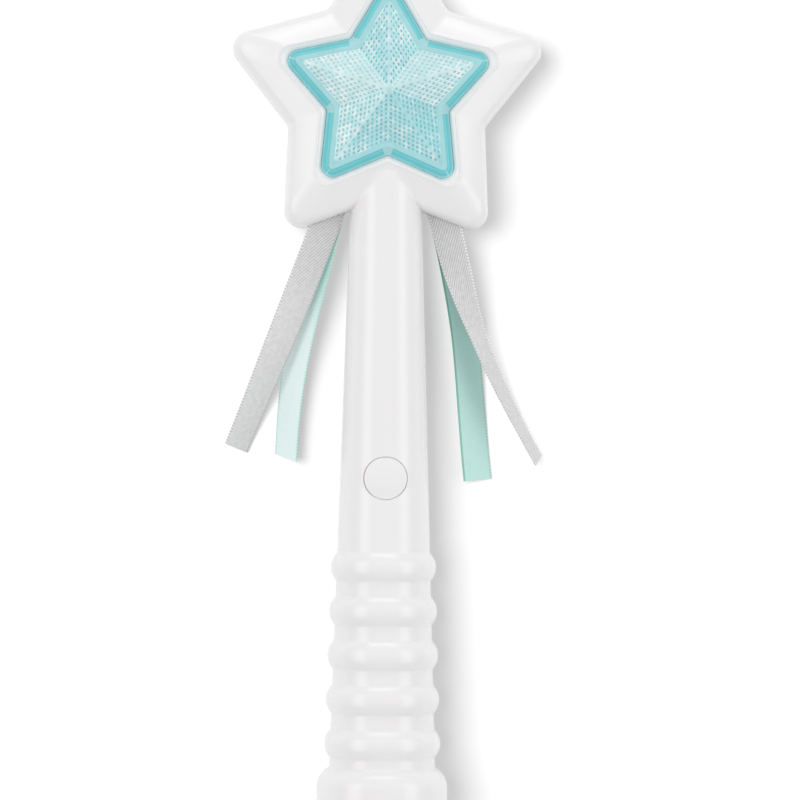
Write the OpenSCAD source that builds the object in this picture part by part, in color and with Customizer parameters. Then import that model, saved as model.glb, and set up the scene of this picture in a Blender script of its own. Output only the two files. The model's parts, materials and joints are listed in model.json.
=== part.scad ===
// Toy magic wand: a lit star on a ribbed handle with four ribbons, lying on its back on a table.
// Each piece is drawn upright, its butt at z = 0 and its front toward -y, and lying() lays it down.

/* [Star] */
// Height of the star's centre above the butt
star_z = 245; // [235:1:260]
// Radius of the five points before they are rounded
star_tip = 58.5; // [57:0.5:62]
// Radius of the five notches
star_notch = 34.6; // [33.6:0.2:36]
// Rounding of the points
star_tip_round = 5.6; // [4.5:0.1:6.5]
// Rounding of the notches
star_notch_round = 4; // [3:0.5:5]
// Height of the frame's crest in front of the seam
star_front = 12.2; // [12:0.1:14]
// Depth of the flat back behind the seam
star_rear = 12.3; // [12:0.1:14]
// Wall of the two shells
wall = 2.2; // [2:0.1:2.4]

/* [Lens] */
// Radius of the window's points before they are rounded
window_tip = 38.5; // [37:0.5:40]
// Radius of the window's notches
window_notch = 21.3; // [20.5:0.1:22]
// Rounding of the window's points
window_tip_round = 3.8; // [3:0.1:4.5]
// Rounding of the window's notches
window_notch_round = 1.8; // [1.6:0.1:2.5]
// Height of the lens's middle above the frame's crest
lens_rise = 4.5; // [3:0.1:6]
// Width of the bevel round the lens
lens_bevel = 2.6; // [2:0.1:3.5]

/* [Handle] */
// Radius of the shaft's cone at the pommel
shaft_low_r = 17.6; // [17.2:0.1:18.5]
// Radius of the shaft's cone at its end inside the star
shaft_top_r = 11.5; // [11:0.1:11.8]
// Radius of the pommel
pommel_r = 21.7; // [20:0.1:24]
// Height of the pommel
pommel_h = 21.9; // [19:0.1:22]
// Rounding of the pommel's two edges
pommel_round = 7.5; // [5:0.5:8]
// Number of ribs on the grip
ribs = 5; // [5:1:6]
// Distance from one rib to the next
rib_pitch = 14.6; // [14.6:0.1:15.2]
// Height of a rib along the grip
rib_w = 9.3; // [7:0.1:10]
// How far a rib stands out of the cone
rib_proud = 1.9; // [1:0.1:2.2]

/* [Button] */
// Height of the button above the butt
button_z = 116.7; // [115:0.1:122]
// Diameter of the button
button_d = 14.1; // [13:0.1:15.5]
// How far the button is pressed
button_travel = 1.2; // [0.6:0.1:1.5]

/* [Battery] */
// Diameter of a cell
cell_d = 10.5; // [10:0.1:10.5]
// Length of a cell with its nub
cell_l = 44.5; // [43.5:0.1:44.5]

/* [Ribbons] */
// Width of a ribbon
ribbon_w = 10; // [8:0.5:10.5]
// Length of the two left ribbons outside the star, seen from above
left_ribbon_l = 82; // [60:0.5:95]
// Length of the two right ribbons outside the star, seen from above
right_ribbon_l = 87.5; // [60:0.5:95]

/* [Hidden] */
$fn = 48;

// clearances
overrun = 1;
fit = 0.05;
lens_gap = 0.15;
button_gap = 0.25;
door_gap = 0.25;
ribbon_gap = 0.25;

// star outlines: point radius, notch radius, point rounding, notch rounding
outer_star = [star_tip, star_notch, star_tip_round, star_notch_round];
window_star = [window_tip, window_notch, window_tip_round, window_notch_round];
tip_steps = 6;
notch_steps = 4;
frame_w = edge_distance(outer_star) - edge_distance(window_star);
wall_share = wall / frame_w;

// frame sections: share of the way from the outer edge to the window, share of the depth
front_outer_shares = [
    [0, 0], [0.02, 0.31], [0.07, 0.49], [0.16, 0.62], [0.32, 0.73],
    [0.55, 0.86], [0.8, 0.985], [0.84, 1], [1, 0.85]
];
seat_share = 0.67;
front_inner_shares = [
    [1, seat_share], [0.6, seat_share], [0.42, 0.6], [wall_share + 0.08, 0.42],
    [wall_share + 0.02, 0.2], [wall_share, 0]
];
flat_share = 0.36;
rear_outer_shares = [
    [flat_share, 1], [0.27, 0.975], [0.17, 0.9], [0.09, 0.76], [0.04, 0.56], [0.015, 0.33], [0, 0]
];
rear_inner_shares = [
    [wall_share, 0], [wall_share + 0.02, 0.3], [wall_share + 0.1, 0.62],
    [wall_share + 0.26, 1 - wall / star_rear]
];

// lens: heights in front of the seam
lens_seat = star_front * seat_share;
flange_t = 1.5;
flange_lap = 1.4;
lens_skin = 2;
edge_share = 0.845;
lens_edge = star_front * edge_share;
lens_band = 1.5;
band_share = 1.082;
band_h = star_front * band_share;
lens_top = star_front + lens_rise;

// handle heights
nose_share = 0.81;
shaft_top = star_z - edge_mix(outer_star, window_star, nose_share)[1] - fit;
nose_l = 3.5;
nose_steps = 6;
nose_bore_r = shaft_top_r - 2 * wall;
rib_gap = 2.35;
rib_first = pommel_h + rib_gap + rib_w / 2;
rib_arc_r = (rib_w * rib_w / 4 + rib_proud * rib_proud) / (2 * rib_proud);
reach = max(pommel_r, shaft_low_r + rib_proud) + overrun;
total_l = star_z + star_tip - star_tip_round * (1 / sin(half_angle(outer_star)) - 1);

// how it lies: the pommel's belly and the star's flat back touch the table
flat_star = edge_mix(outer_star, window_star, flat_share);
flat_top = star_z + flat_star[0] - flat_star[2] * (1 / sin(half_angle(flat_star)) - 1);
belly_z = pommel_h - pommel_round;
rest_tilt = atan((pommel_r - star_rear) / (flat_top - belly_z));
rest_h = pommel_r * cos(rest_tilt) + belly_z * sin(rest_tilt);

// shell screws: places in x and z, and sizes
screw_r = 1.3;
screw_head_r = 2.6;
screw_head_h = 1.9;
screw_crown_share = 0.72;
screw_cross_share = 0.6;
screw_slit_share = 0.28;
screw_l = 11;
screw_seat = 4.6;
boss_r = 3;
rear_boss_r = 4.2;
screw_share = 0.735;
star_screw_r = star_tip * screw_share;
star_screws = [for (a = [18, 90, 162]) [star_screw_r * cos(a), star_z + star_screw_r * sin(a)]];
upper_screw_gap = 43;
lower_screw_gap = 20.5;
upper_screw_z = button_z + upper_screw_gap;
lower_screw_z = button_z - lower_screw_gap;
handle_screws = [[0, pommel_h / 2], [0, lower_screw_z], [0, upper_screw_z]];

// button and board, depths from the axis, front is negative
shaft_at_button = cone_r(button_z);
button_r = button_d / 2;
button_hole_r = button_r + button_gap;
button_proud = 0.4;
button_top = -shaft_at_button - button_proud;
button_dome_r = 24;
guide_t = 1.6;
guide_r = button_hole_r + guide_t;
flange_out = 1.1;
flange_r = button_hole_r + flange_out;
flange_room = 0.3;
guide_end = flange_room - sqrt(pow(cone_r(button_z + flange_r) - wall, 2) - pow(flange_r, 2));
flange_h = 1.2;
dome_room = 1.8;
board_front = guide_end + flange_h + button_travel + dome_room;
board_t = 1.2;
board_back = board_front + board_t;
board_w = 15;
board_below = 15;
board_above = 15.5;
board_low = button_z - board_below;
board_high = button_z + board_above;
board_hole_r = 1.3;
board_screw_gap = 12.2;
board_screw_zs = [button_z - board_screw_gap, button_z + board_screw_gap];
board_screw_r = 1.1;
board_head_r = 2;
board_head_h = 1.2;
board_screw_l = 5;
post_r = 2.4;
dome_r = 5;
dome_top_r = 3;
dome_base_h = 0.8;
dome_skin = 0.7;
chip_r = 4;
chip_h = 1.6;
chip_sphere_r = (chip_r * chip_r + chip_h * chip_h) / (2 * chip_h);
resistor_r = 0.9;
resistor_l = 3.4;
resistor_x = 4.5;

// lamps
led_board_r = 12;
led_board_y = 3;
led_r = 2.5;
led_h = 5;
led_ring_r = 6.5;
led_flange_r = 2.9;
led_post_r = 2;
led_post_x = 9;

// battery compartment: cells lie side by side behind the axis
cell_r = cell_d / 2;
cell_gap = 0.15;
cell_x = cell_r + cell_gap;
cell_y = 3;
nub_r = 1.9;
nub_h = 0.8;
plate_t = 0.4;
plate_w = 8;
spring_h = 5.1;
spring_wire_r = 0.35;
spring_r = 3.4;
spring_top_r = 2.4;
spring_turns = 3;
holder_t = 1.2;
door_start = 1.4;
door_low = pommel_h + door_start;
ledge_z = 1.1;
holder_low = door_low + ledge_z + 2 * fit;
cells_low = holder_low + holder_t;
cells_high = cells_low + 2 * plate_t + spring_h + cell_l;
holder_high = cells_high + holder_t;
holder_gap = 0.25;
holder_x = cell_x + cell_r + holder_gap;
holder_front = cell_y - cell_r - holder_gap;
tray_front = holder_front - holder_t;
holder_rim = 5;
tab_w = 2;
tab_out = 2.6;
tab_x = cell_x + tab_out;
tab_l = 2;

// battery door: its outer skin lies on a ledge half way through the shell's wall
ledge = wall / 2;
ledge_w = 1.6;
door_x = holder_x + ledge_w;
ledge_x = holder_x;
door_screw_gap = 3;
door_screw_z = holder_high + door_screw_gap;
door_boss_r = 3;
door_high = door_screw_z + door_boss_r + door_gap + ledge_z + 2 * fit;
door_screw_r = 1.1;
door_head_r = 2.4;
door_head_h = 1.5;
door_seat_y = cone_r(door_screw_z) - wall;
door_boss_t = 1.6;
door_boss_y = door_seat_y - door_boss_t;
door_screw_l = 7;
holder_boss_w = 6.4;

// ribbons: a grey one lies over a mint one in each slot
ribbon_t = 0.4;
ribbon_steps = 28;
ribbon_inside = 6;
slot_turn = 17;
slot_x = 19.6;
slot_z = star_z + edge_z(outer_star, slot_x);
slot_room = 1.2;
slot_w = ribbon_w + slot_room;
slot_h = 2 * (ribbon_t + ribbon_gap);
slot_l = 14;
layer_y = (ribbon_t + fit) / 2;
table_gap = 0.35;

// wires
wire_r = 0.6;
wire_sides = 8;
wire_steps = 5;
wire_x = 7;
wire_bend_share = 0.9;
wire_board_share = 0.8;
wire_nose_share = 0.7;
wire_lamp_share = 0.6;
wire_lap = 2;
wire_pad = 3;
wire_bend = 4;
wire_slack = 12;
wire_rise = 22;
wire_dip = 1.5;

function half_angle(star) = atan2(star[1] * sin(36), star[0] - star[1] * cos(36));
function edge_distance(star) = star[0] * sin(half_angle(star));
function edge_mix(a, b, share) = a + (b - a) * share;
// depth of the lower edge beside the neck, below the star's centre
function edge_z(star, x) = let (lean = 54 - half_angle(star))
    -(edge_distance(star) + x * sin(lean)) / cos(lean);
function cone_r(z) = shaft_low_r + (shaft_top_r - shaft_low_r) * (z - pommel_h) / (shaft_top - pommel_h);
function rib_z(i) = rib_first + i * rib_pitch;
// radius of the shell's wall at a height, halfway through it
function wall_r(z) = (z < pommel_h ? max(pommel_r, cone_r(z)) : cone_r(z)) - wall / 2;
function smooth(u) = u * u * (3 - 2 * u);
function unit(v) = v / norm(v);
// the table's depth behind the axis at a height along the wand
function table_y(z) = (rest_h - z * sin(rest_tilt)) / cos(rest_tilt);

// a star moved outward by d all round
function grown(star, d) = let (a = half_angle(star))
    [star[0] + d / sin(a), star[1] + d / cos(54 - a), max(star[2] + d, fit), max(star[3] - d, fit)];

// a star's outline, with its points and notches as arcs
function star_loop(star) =
    let (
        a = half_angle(star),
        tip_c = star[0] - star[2] / sin(a),
        notch_c = star[1] + star[3] / cos(54 - a)
    )
    [for (k = [0:4])
        let (t = 90 + 72 * k, v = t + 36)
        each concat(
            [for (i = [0:tip_steps])
                let (n = t + (90 - a) * (2 * i / tip_steps - 1))
                [tip_c * cos(t) + star[2] * cos(n), tip_c * sin(t) + star[2] * sin(n)]],
            [for (i = [0:notch_steps])
                let (n = v + (54 - a) * (1 - 2 * i / notch_steps))
                [notch_c * cos(v) - star[3] * cos(n), notch_c * sin(v) - star[3] * sin(n)]])];

// a star's outline at a height in front of the seam
function ring(star, h) = [for (p = star_loop(star)) [p[0], -h, star_z + p[1]]];
function frame_rings(shares, depth) =
    [for (s = shares) ring(edge_mix(outer_star, window_star, s[0]), s[1] * depth)];

// a smooth path through hand-chosen points
function spline(p) = [for (i = [0:len(p) - 2]) for (j = [0:wire_steps - 1])
    let (
        a = p[max(i - 1, 0)],
        b = p[i],
        c = p[i + 1],
        d = p[min(i + 2, len(p) - 1)],
        u = j / wire_steps
    )
    b + (c - a) * u / 2 + (2 * a - 5 * b + 4 * c - d) * u * u / 2 + (3 * b - a - 3 * c + d) * u * u * u / 2];

// rings of a round wire along a path, squared to a fixed direction
function tube_rings(path, r, square_to) = [for (i = [0:len(path) - 1])
    let (
        t = unit(path[min(i + 1, len(path) - 1)] - path[max(i - 1, 0)]),
        u = unit(cross(square_to, t)),
        v = cross(t, u)
    )
    [for (k = [0:wire_sides - 1])
        path[i] + r * (u * cos(360 * k / wire_sides) + v * sin(360 * k / wire_sides))]];

// lays a piece drawn upright on the table, the middle of its length at the origin
module lying() {
    translate([0, -total_l * cos(rest_tilt) / 2, rest_h]) rotate([-90 - rest_tilt, 0, 0]) children();
}

// a solid through rings ordered from back to front, closed to a point at each end
module loft(rings, back, front) {
    n = len(rings[0]);
    last = (len(rings) - 1) * n;
    sides = [for (j = [0:len(rings) - 2]) for (i = [0:n - 1])
        let (a = j * n + i, b = j * n + (i + 1) % n)
        each [[a, a + n, b + n], [a, b + n, b]]];
    ends = [for (i = [0:n - 1])
        let (b = (i + 1) % n)
        each [[last + n, i, b], [last + n + 1, last + b, last + i]]];
    polyhedron(concat([for (r = rings) each r], [back, front]), concat(sides, ends));
}

// a closed frame through rings that return to the first one
module frame_loft(rings) {
    n = len(rings[0]);
    count = len(rings) * n;
    sides = [for (j = [0:len(rings) - 1]) for (i = [0:n - 1])
        let (a = j * n + i, b = j * n + (i + 1) % n, c = (a + n) % count, d = (b + n) % count)
        each [[a, c, d], [a, d, b]]];
    polyhedron([for (r = rings) each r], sides);
}

function middle(r) = [for (k = [0:2]) [for (p = r) p[k]] * [for (p = r) 1 / len(r)]];

module tube(path, r, square_to) {
    rings = tube_rings(path, r, square_to);
    loft(rings, path[0], path[len(path) - 1]);
}

// a cylinder along the depth, from one depth to another, at a place on the front view
module depth_rod(place, r, from, to) {
    translate([place[0], from, place[1]]) rotate([-90, 0, 0]) cylinder(r = r, h = to - from);
}

// handle: a cone with a rounded nose inside the star, a rounded pommel and ribs turned about the axis
module handle_profile() {
    polygon(concat([[0, 0], [cone_r(0), 0]], [for (i = [0:nose_steps])
        let (a = 90 * i / nose_steps, z = shaft_top - nose_l * (1 - sin(a)))
        [cone_r(z) * cos(a), z]]));
    translate([0, pommel_round]) square([pommel_r, pommel_h - 2 * pommel_round]);
    square([pommel_r - pommel_round, pommel_h]);
    for (z = [pommel_round, pommel_h - pommel_round])
        translate([pommel_r - pommel_round, z]) circle(r = pommel_round);
    for (i = [0:ribs - 1])
        translate([cone_r(rib_z(i)) + rib_proud - rib_arc_r, rib_z(i)]) circle(r = rib_arc_r);
}

module handle_half(front) {
    rotate([0, 0, front ? 180 : 0]) rotate_extrude(angle = 180) handle_profile();
}

// a cone inside the handle, its surface a set depth under the shaft's
module inner_cone(depth, from, to) {
    translate([0, 0, from]) cylinder(r1 = cone_r(from) - depth, r2 = cone_r(to) - depth, h = to - from);
}

module handle_hollow() {
    inner_cone(wall, wall, shaft_top - nose_l);
    translate([0, 0, shaft_top - nose_l - overrun]) cylinder(r = nose_bore_r, h = nose_l + 2 * overrun);
    translate([0, 0, wall]) cylinder(r = pommel_r - wall - pommel_round / 3, h = pommel_h - 3 * wall);
}

module ribbon_slots() {
    for (side = [-1, 1])
        translate([side * slot_x, 0, slot_z]) rotate([0, side * -slot_turn, 0])
            cube([slot_w, slot_h, slot_l], center = true);
}

// room behind the window for the lens's flange
module lens_pocket() {
    room = grown(window_star, flange_lap + 2 * lens_gap);
    low = lens_seat - flange_t - 4 * lens_gap;
    high = lens_seat - fit / 2;
    loft([ring(room, low), ring(room, high)], [0, -low, star_z], [0, -high, star_z]);
}

module front_shell() {
    color("white") lying() difference() {
        union() {
            difference() {
                union() {
                    frame_loft(concat(
                        frame_rings(front_outer_shares, star_front),
                        frame_rings(front_inner_shares, star_front)));
                    handle_half(true);
                }
                handle_hollow();
            }
            for (p = star_screws) depth_rod(p, boss_r, -lens_seat - wall / 4, 0);
            for (p = handle_screws) depth_rod(p, boss_r, -wall_r(p[1]), 0);
            depth_rod([0, button_z], guide_r, -shaft_at_button + wall, guide_end);
            for (z = board_screw_zs) depth_rod([0, z], post_r, -wall_r(z), board_front);
            for (z = [rib_z(1), rib_z(2)]) depth_rod([0, z], boss_r, -wall_r(z), tray_front);
        }
        for (p = concat(star_screws, handle_screws))
            depth_rod(p, screw_r + fit, -screw_l + screw_seat - overrun / 2, overrun);
        for (z = board_screw_zs)
            depth_rod([0, z], board_screw_r + fit, board_back - board_screw_l - overrun / 2, overrun);
        depth_rod([0, button_z], button_hole_r, -shaft_at_button - overrun, 0);
        lens_pocket();
        ribbon_slots();
    }
}

module rear_shell() {
    rings = concat(frame_rings(rear_outer_shares, -star_rear), frame_rings(rear_inner_shares, -star_rear));
    color("white") lying() difference() {
        union() {
            difference() {
                union() {
                    loft(rings, middle(rings[0]), middle(rings[len(rings) - 1]));
                    handle_half(false);
                }
                handle_hollow();
            }
            for (p = star_screws) depth_rod(p, rear_boss_r, 0, star_rear - wall / 2);
            for (p = handle_screws) depth_rod(p, rear_boss_r, 0, wall_r(p[1]));
            for (side = [-1, 1])
                depth_rod([side * led_post_x, star_z], led_post_r,
                    led_board_y + board_t, star_rear - wall / 2);
        }
        for (p = concat(star_screws, handle_screws)) {
            depth_rod(p, screw_r + 2 * fit, -overrun, screw_seat + overrun);
            depth_rod(p, screw_head_r + 4 * fit, screw_seat, reach);
        }
        door_opening();
        ribbon_slots();
    }
}

// the opening in the back of the grip, with its ledge
module door_opening() {
    translate([-ledge_x, 0, door_low + ledge_z])
        cube([2 * ledge_x, reach, door_high - door_low - 2 * ledge_z]);
    difference() {
        translate([-door_x, 0, door_low]) cube([2 * door_x, reach, door_high - door_low]);
        inner_cone(ledge, 0, shaft_top);
    }
}

module battery_door() {
    color("white") lying() difference() {
        union() {
            intersection() {
                difference() {
                    handle_half(false);
                    inner_cone(ledge - fit, 0, shaft_top);
                }
                translate([-door_x + door_gap, 0, door_low + door_gap])
                    cube([2 * (door_x - door_gap), reach, door_high - door_low - 2 * door_gap]);
            }
            depth_rod([0, door_screw_z], door_boss_r, door_boss_y, cone_r(door_screw_z) - wall / 4);
        }
        depth_rod([0, door_screw_z], door_screw_r + fit, 0, reach);
        depth_rod([0, door_screw_z], door_head_r + 4 * fit, door_seat_y, reach);
    }
}

// a round-headed screw along the depth, its head's seat at a depth, with a cross for the driver
module screw(place, seat, r, length, head_r, head_h) {
    difference() {
        union() {
            depth_rod(place, r, seat - length, seat + head_h / 2);
            translate([place[0], seat, place[1]]) rotate([-90, 0, 0]) {
                cylinder(r = head_r, h = head_h / 2);
                translate([0, 0, head_h / 2])
                    cylinder(r1 = head_r, r2 = head_r * screw_crown_share, h = head_h / 2);
            }
        }
        for (turn = [0, 90])
            translate([place[0], seat + head_h, place[1]]) rotate([0, turn, 0])
                cube([2 * head_r * screw_cross_share, head_h, head_r * screw_slit_share], center = true);
    }
}

module door_screw() {
    color("silver") lying()
        screw([0, door_screw_z], door_seat_y, door_screw_r, door_screw_l, door_head_r, door_head_h);
}

module shell_screws() {
    color("silver") lying() for (p = concat(star_screws, handle_screws))
        screw(p, screw_seat, screw_r, screw_l, screw_head_r, screw_head_h);
}

module board_screws() {
    color("silver") lying() for (z = board_screw_zs)
        screw([0, z], board_back, board_screw_r, board_screw_l, board_head_r, board_head_h);
}

// a hollow faceted star with a flange behind the window
module star_lens() {
    flange = grown(window_star, flange_lap);
    body = grown(window_star, -lens_gap);
    bevel = grown(window_star, -lens_bevel);
    band = grown(window_star, -lens_bevel - lens_band);
    bore = grown(window_star, -lens_skin);
    front = lens_seat - fit;
    rings = [
        ring(band, band_h - lens_skin),
        ring(bore, front),
        ring(bore, front - flange_t),
        ring(flange, front - flange_t),
        ring(flange, front),
        ring(body, front),
        ring(body, lens_edge),
        ring(bevel, band_h),
        ring(band, band_h)
    ];
    color("mediumturquoise", 0.6) lying()
        loft(rings, [0, -lens_top + lens_skin, star_z], [0, -lens_top, star_z]);
}

module button_cap() {
    color("white") lying() {
        intersection() {
            depth_rod([0, button_z], button_r, button_top - overrun, guide_end + fit + flange_h / 2);
            translate([0, button_top + button_dome_r, button_z]) sphere(r = button_dome_r);
        }
        depth_rod([0, button_z], flange_r, guide_end + fit, guide_end + fit + flange_h);
    }
}

// a hollow rubber dome between the button and the board
module rubber_dome() {
    top = guide_end + 2 * fit + flange_h;
    height = board_front - top;
    color("lightgrey") lying() translate([0, board_front, button_z]) rotate([90, 0, 0]) rotate_extrude()
        polygon([
            [dome_r - 2 * dome_skin, 0], [dome_r, 0], [dome_r, dome_base_h],
            [dome_r - dome_skin, dome_base_h], [dome_top_r, height - dome_skin], [dome_top_r, height],
            [0, height], [0, height - dome_skin], [dome_top_r - dome_skin, height - dome_skin]
        ]);
}

module main_board() {
    color("darkgreen") lying() difference() {
        translate([-board_w / 2, board_front, board_low]) cube([board_w, board_t, board_high - board_low]);
        for (z = board_screw_zs) depth_rod([0, z], board_hole_r, board_front - overrun, 0);
    }
}

module controller_chip() {
    y = board_back;
    color("black") lying() intersection() {
        translate([0, y + chip_h - chip_sphere_r, button_z]) sphere(r = chip_sphere_r);
        depth_rod([0, button_z], chip_r + overrun, y, y + 2 * chip_h);
    }
}

module resistors() {
    color("tan") lying() for (side = [-1, 1])
        translate([side * resistor_x, board_back + resistor_r, button_z + 2 * chip_r - resistor_l / 2])
            cylinder(r = resistor_r, h = resistor_l);
}

module led_board() {
    color("darkgreen") lying() depth_rod([0, star_z], led_board_r, led_board_y, led_board_y + board_t);
}

module leds() {
    color("white", 0.8) lying() for (a = [90, 210, 330]) {
        place = [led_ring_r * cos(a), star_z + led_ring_r * sin(a)];
        depth_rod(place, led_flange_r, led_board_y - board_t, led_board_y);
        depth_rod(place, led_r, led_board_y - led_h, led_board_y);
        translate([place[0], led_board_y - led_h, place[1]]) sphere(r = led_r);
    }
}

// a tray open to the back, with a boss for the door's screw
module battery_holder() {
    color("white") lying() difference() {
        union() {
            translate([-holder_x - holder_t, tray_front, holder_low])
                cube([2 * (holder_x + holder_t), holder_rim - tray_front, holder_high - holder_low]);
            translate([-holder_boss_w / 2, tray_front, holder_high - fit])
                cube([holder_boss_w, door_boss_y - fit - tray_front, door_high - holder_high - ledge_z]);
        }
        translate([-holder_x, holder_front, cells_low])
            cube([2 * holder_x, holder_rim - holder_front + overrun, cells_high - cells_low]);
        for (side = [-1, 1])
            translate([side * tab_x - tab_w / 2 - fit, cell_y - tab_w / 2 - fit, cells_high - overrun])
                cube([tab_w + 2 * fit, plate_t + 2 * fit, holder_t + 2 * overrun]);
        depth_rod([0, door_screw_z], door_screw_r + fit, door_seat_y - door_screw_l - overrun / 2, reach);
    }
}

// two cells, one each way up
module battery_cells() {
    low = cells_low + plate_t;
    color("dimgrey") lying() {
        translate([-cell_x, cell_y, low + spring_h]) {
            cylinder(r = cell_r, h = cell_l - nub_h);
            cylinder(r = nub_r, h = cell_l);
        }
        translate([cell_x, cell_y, low]) {
            translate([0, 0, nub_h]) cylinder(r = cell_r, h = cell_l - nub_h);
            cylinder(r = nub_r, h = cell_l);
        }
    }
}

// points of a conical spring that stands on its wide end
function spring_path() = [for (i = [0:12 * spring_turns])
    let (u = i / (12 * spring_turns), a = 30 * i, r = spring_r + (spring_top_r - spring_r) * u)
    [r * cos(a), r * sin(a), spring_wire_r + fit + u * (spring_h - 2 * spring_wire_r - 2 * fit)]];

module battery_springs() {
    path = spring_path();
    turn_gap = norm(path[12] - path[0]) - 2 * spring_wire_r;
    echo("least gap between a spring's turns", turn_gap);
    color("silver") lying() {
        translate([-cell_x, cell_y, cells_low + plate_t]) tube(path, spring_wire_r, [0, 0, 1]);
        translate([cell_x, cell_y, cells_high - plate_t]) rotate([180, 0, 0])
            tube(path, spring_wire_r, [0, 0, 1]);
    }
}

module link_plate() {
    color("silver") lying() translate([-cell_x - plate_w / 2, cell_y - plate_w / 2, cells_low])
        cube([2 * cell_x + plate_w, plate_w, plate_t]);
}

// a contact at the top of one cell, with a tab through the tray's end
module end_plate(side) {
    lying() {
        translate([side * cell_x - plate_w / 2, cell_y - plate_w / 2, cells_high - plate_t])
            cube([plate_w, plate_w, plate_t]);
        translate([side * tab_x - tab_w / 2, cell_y - tab_w / 2, cells_high - plate_t])
            cube([tab_w, plate_t, plate_t + holder_t + tab_l]);
    }
}

module positive_plate() {
    color("silver") end_plate(-1);
}

module negative_plate() {
    color("silver") end_plate(1);
}

// a wire from a contact to the board, and one from the board up to the lamps
module wire_pair(side) {
    board_y = board_back + wire_r + fit;
    tab_y = cell_y - tab_w / 2 - wire_r - fit;
    lamp_y = led_board_y - wire_r;
    lying() {
        tube(spline([
            [side * tab_x, tab_y, holder_high + fit + wire_r],
            [side * tab_x, tab_y, holder_high + 3 * tab_l],
            [side * wire_x, board_y + wire_r, lower_screw_z - wire_bend],
            [side * wire_x * wire_bend_share, board_y + wire_r, lower_screw_z + wire_lap],
            [side * wire_x * wire_board_share, board_y, board_low + wire_lap],
            [side * wire_x * wire_board_share, board_y, board_low + wire_lap + wire_pad]
        ]), wire_r, [0, 1, 0]);
        tube(spline([
            [side * wire_x * wire_board_share, board_y, board_high - wire_bend],
            [side * wire_x * wire_board_share, board_y, board_high],
            [side * wire_x, 0, upper_screw_z - wire_slack],
            [side * wire_x, 0, upper_screw_z],
            [side * wire_x * wire_bend_share, 0, upper_screw_z + wire_rise],
            [side * wire_x * wire_board_share, 0, shaft_top - wire_slack],
            [side * wire_x * wire_nose_share, 0, shaft_top],
            [side * wire_x * wire_lamp_share, lamp_y - wire_dip, star_z - led_board_r - wire_lap],
            [side * wire_x * wire_lamp_share, lamp_y - fit, star_z - led_board_r + wire_lap],
            [side * wire_x * wire_lamp_share, lamp_y - fit, star_z - led_board_r + wire_bend]
        ]), wire_r, [0, 1, 0]);
    }
}

module red_wires() {
    color("firebrick") wire_pair(-1);
}

module black_wires() {
    color("black") wire_pair(1);
}

// middle line of a ribbon, from inside the slot, turning from one splay to another as it falls to the table
function ribbon_run(turns, length, i) = i == 0 ? [0, 0] :
    let (
        step = length / ribbon_steps,
        u = (i - 0.5) / ribbon_steps,
        a = turns[0] + (turns[1] - turns[0]) * smooth(u) + turns[2] * sin(180 * u)
    )
    ribbon_run(turns, length, i - 1) + step * [sin(a), -cos(a)];

// side: -1 left, 1 right; layer: depth of the ribbon in its slot; turns: splay at slot and end, and its bow;
// twists: roll half way and at the end; sag: how soon it falls
module ribbon(side, layer, turns, twists, length, sag) {
    start = [side * slot_x, layer, slot_z];
    inside = start + ribbon_inside * [-side * sin(slot_turn), 0, cos(slot_turn)];
    end = ribbon_run(turns, length, ribbon_steps);
    rise = ribbon_w / 2 * abs(sin(twists[1])) + ribbon_t + table_gap;
    fall = table_y(slot_z + end[1]) - rise - layer;
    path = concat([inside], [for (i = [0:ribbon_steps])
        let (u = i / ribbon_steps, run = ribbon_run(turns, length, i))
        start + [side * run[0], fall * smooth(1 - pow(1 - u, sag)), run[1]]]);
    rings = [for (i = [0:len(path) - 1])
        let (
            u = max(i - 1, 0) / ribbon_steps,
            roll = twists[0] * smooth(min(2 * u, 1)) + (twists[1] - twists[0]) * smooth(u),
            t = unit(path[min(i + 1, len(path) - 1)] - path[max(i - 1, 0)]),
            across = unit([-t[2], 0, t[0]]),
            out = cross(t, across),
            w = across * cos(roll) - out * sin(roll),
            n = cross(t, w)
        )
        [for (s = [[-1, -1], [1, -1], [1, 1], [-1, 1]])
            path[i] + w * s[0] * ribbon_w / 2 + n * s[1] * ribbon_t / 2]];
    lying() loft(rings, path[0], path[len(path) - 1]);
}

module left_grey_ribbon() {
    color("silver") ribbon(-1, -layer_y, [20.2, 22, 0.4], [-6, 38], left_ribbon_l, 0.75);
}

module left_mint_ribbon() {
    color("aquamarine") ribbon(-1, layer_y, [12.2, 1.8, 3.4], [-13, -43], left_ribbon_l, 1.3);
}

module right_grey_ribbon() {
    color("silver") ribbon(1, -layer_y, [13.6, 29.4, 1.5], [43, 66], right_ribbon_l, 0.75);
}

module right_mint_ribbon() {
    color("aquamarine") ribbon(1, layer_y, [14, 6.3, -2.9], [31, 18], right_ribbon_l, 1.3);
}

front_shell();
rear_shell();
star_lens();
button_cap();
rubber_dome();
main_board();
controller_chip();
resistors();
board_screws();
led_board();
leds();
battery_holder();
battery_cells();
battery_springs();
link_plate();
positive_plate();
negative_plate();
battery_door();
door_screw();
shell_screws();
red_wires();
black_wires();
left_grey_ribbon();
left_mint_ribbon();
right_grey_ribbon();
right_mint_ribbon();
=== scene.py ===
import json

import bmesh
import bpy
import numpy as np
from mathutils import Matrix


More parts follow.
